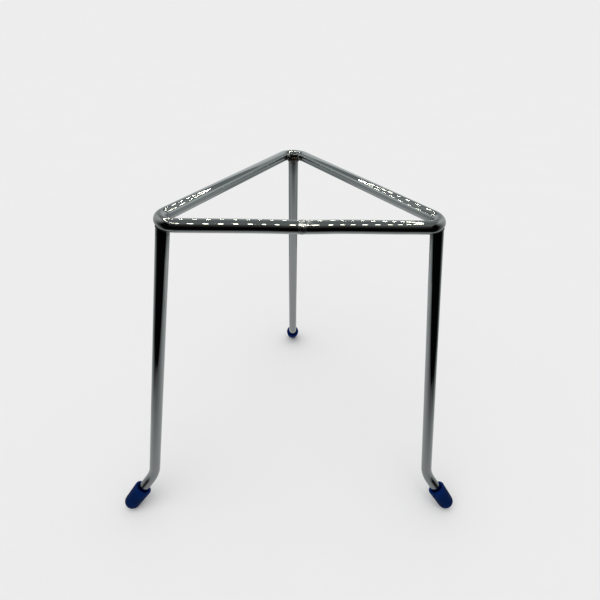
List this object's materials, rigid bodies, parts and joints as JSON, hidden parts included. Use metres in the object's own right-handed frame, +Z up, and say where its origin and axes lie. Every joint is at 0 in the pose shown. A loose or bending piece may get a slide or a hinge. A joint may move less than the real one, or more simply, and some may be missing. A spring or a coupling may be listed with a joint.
{
  "type": "lab tripod stand",
  "caption": "Free-standing chrome wire tripod with a triangular rod top, splayed legs bent out at the feet and blue push-on caps, to hold a vessel over a burner.",
  "frame": {"origin": "on the bench, under the middle of the triangular top", "axes": "+Z up through the middle of the top, -Y towards the side of the top that holds the butt weld, +X to the right as seen from that side"},
  "size_m": [0.2313, 0.2067, 0.2103],
  "materials": {
    "chrome_rod": "bright chrome plating on round steel rod, lightly scuffed",
    "plated_weld": "plated weld bead, rippled and a little stained",
    "cap_plastic": "soft dipped vinyl with a satin skin"
  },
  "bodies": {
    "root": {"top_ring": "chrome_rod", "butt_weld": "plated_weld", "leg_back": "chrome_rod", "leg_left": "chrome_rod", "leg_right": "chrome_rod", "leg_weld_back": "plated_weld", "leg_weld_left": "plated_weld", "leg_weld_right": "plated_weld", "foot_cap_back": "cap_plastic", "foot_cap_left": "cap_plastic", "foot_cap_right": "cap_plastic"}
  },
  "joints": []
}
